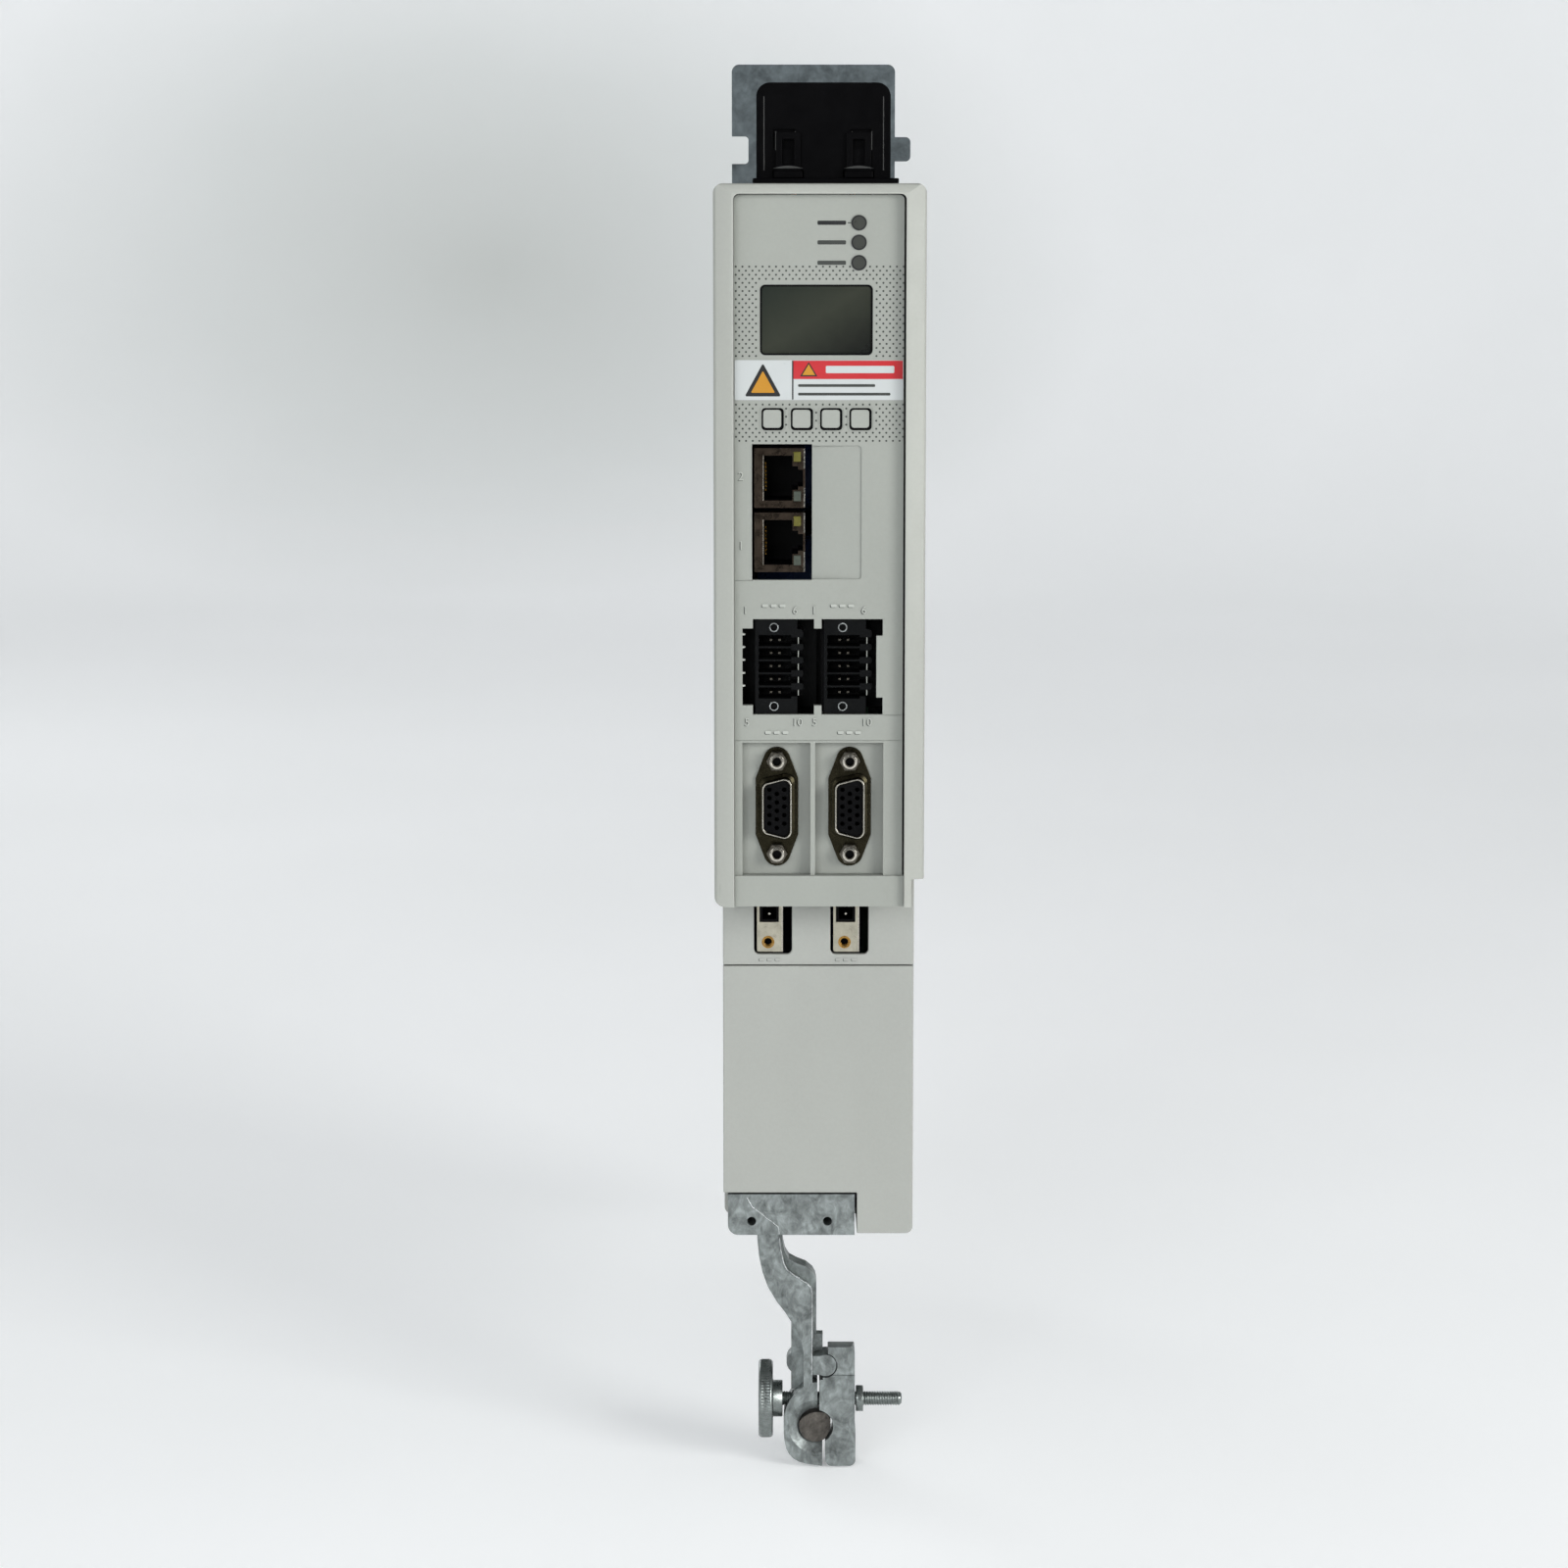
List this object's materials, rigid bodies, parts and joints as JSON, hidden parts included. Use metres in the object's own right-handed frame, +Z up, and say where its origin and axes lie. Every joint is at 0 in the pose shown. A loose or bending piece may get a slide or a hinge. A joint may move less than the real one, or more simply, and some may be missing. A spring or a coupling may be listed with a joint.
{
  "type": "servo drive",
  "caption": "Slim book-style dual-axis servo drive with display, keypad, network, feedback and I/O connectors, DC bus connector, fan and a cast cable clamp.",
  "frame": {"origin": "on the panel face of the mounting plate, midway between the two fixing holes", "axes": "+Z up, -Y out of the front panel, +X to the viewer's right when facing the front"},
  "size_m": [0.0591, 0.252, 0.392],
  "materials": {
    "galvanised_steel": "satin",
    "bezel_plastic": "matte",
    "panel_plastic": "matte",
    "cover_plastic": "matte",
    "label_film": "satin",
    "display_glass": "gloss",
    "light_pipe": "gloss",
    "key_plastic": "matte",
    "black_plastic": "matte",
    "bus_plastic": "satin",
    "dark_plastic": "matte",
    "jack_shield": "satin",
    "bronze_shell": "satin",
    "bright_nickel": "polished",
    "ground_nickel": "satin",
    "gold_contact": "polished",
    "copper": "satin",
    "board_green": "satin",
    "capacitor_sleeve": "gloss",
    "component_black": "matte",
    "winding": "satin",
    "fin_aluminium": "satin",
    "fan_plastic": "matte",
    "cast_zinc": "cast",
    "zinc_plate": "satin"
  },
  "bodies": {
    "root": {"mounting_plate": "galvanised_steel", "left_side_wall": "galvanised_steel", "right_side_wall": "galvanised_steel", "top_panel": "galvanised_steel", "bottom_panel": "galvanised_steel", "front_bezel": "bezel_plastic", "front_panel": "panel_plastic", "overlay_label": "label_film", "display_window": "display_glass", "display_module": "dark_plastic", "status_lights": "light_pipe", "key_switches": "component_black", "display_board": "board_green", "ethernet_jack_1": "jack_shield", "ethernet_jack_2": "jack_shield", "ethernet_inserts": "black_plastic", "ethernet_contacts": "gold_contact", "ethernet_lights": "light_pipe", "io_header_a": "dark_plastic", "io_header_b": "dark_plastic", "io_pins": "bright_nickel", "io_inserts": "bright_nickel", "feedback_shell_a": "bronze_shell", "feedback_shell_b": "bronze_shell", "feedback_insulators": "black_plastic", "feedback_jackscrews": "bright_nickel", "lower_fascia": "cover_plastic", "ground_plate_a": "ground_nickel", "ground_plate_b": "ground_nickel", "motor_feedback_sockets": "black_plastic", "lower_cover": "cover_plastic", "bus_base": "bus_plastic", "bus_housing": "bus_plastic", "bus_latches": "bus_plastic", "bus_contacts": "copper", "control_power_socket": "dark_plastic", "safe_torque_header": "dark_plastic", "motor_power_sockets": "dark_plastic", "brake_sockets": "dark_plastic", "ground_screw": "gold_contact", "heat_sink": "fin_aluminium", "fan_frame": "fan_plastic", "fan_guard": "zinc_plate", "control_board": "board_green", "power_board": "board_green", "capacitors": "capacitor_sleeve", "power_module": "component_black", "current_sensors": "component_black", "transformer": "winding", "clamp_bracket": "cast_zinc", "clamp_spacer": "cast_zinc", "chassis_screws": "zinc_plate"},
    "clamp_jaw": {"clamp_jaw": "cast_zinc"},
    "fan_rotor": {"fan_rotor": "fan_plastic"},
    "key_1": {"key_1": "key_plastic"},
    "key_2": {"key_2": "key_plastic"},
    "key_3": {"key_3": "key_plastic"},
    "key_4": {"key_4": "key_plastic"},
    "screw_nut": {"screw_nut": "zinc_plate"},
    "thumb_screw": {"thumb_screw": "zinc_plate"}
  },
  "joints": [
    {"name": "key_1_press", "type": "slide", "parent": "root", "child": "key_1", "axis": [0, 1, 0], "range_m": [0, 0.0005], "stiffness_N_per_m": 400},
    {"name": "key_2_press", "type": "slide", "parent": "root", "child": "key_2", "axis": [0, 1, 0], "range_m": [0, 0.0005], "stiffness_N_per_m": 400},
    {"name": "key_3_press", "type": "slide", "parent": "root", "child": "key_3", "axis": [0, 1, 0], "range_m": [0, 0.0005], "stiffness_N_per_m": 400},
    {"name": "key_4_press", "type": "slide", "parent": "root", "child": "key_4", "axis": [0, 1, 0], "range_m": [0, 0.0005], "stiffness_N_per_m": 400},
    {"name": "fan_spin", "type": "hinge", "parent": "root", "child": "fan_rotor", "pos_m": [0, -0.0235, -0.138], "axis": [0, 0, 1], "continuous": true},
    {"name": "thumb_screw_turn", "type": "hinge", "parent": "root", "child": "thumb_screw", "pos_m": [-0.0145, -0.2228, -0.1945], "axis": [-1, 0, 0], "range_deg": [0, 1440]},
    {"name": "nut_travel", "type": "slide", "parent": "root", "child": "screw_nut", "axis": [1, 0, 0], "range_m": [0, 0.0028]},
    {"name": "jaw_swing", "type": "hinge", "parent": "root", "child": "clamp_jaw", "pos_m": [0.0021, -0.222, -0.1841], "axis": [0, -1, 0], "range_deg": [0, 11]}
  ],
  "couplings": [
    {"joint": "nut_travel", "follows": "thumb_screw_turn", "m_per_rad": 0.00011141},
    {"joint": "jaw_swing", "follows": "thumb_screw_turn", "ratio": 0.0076389}
  ]
}
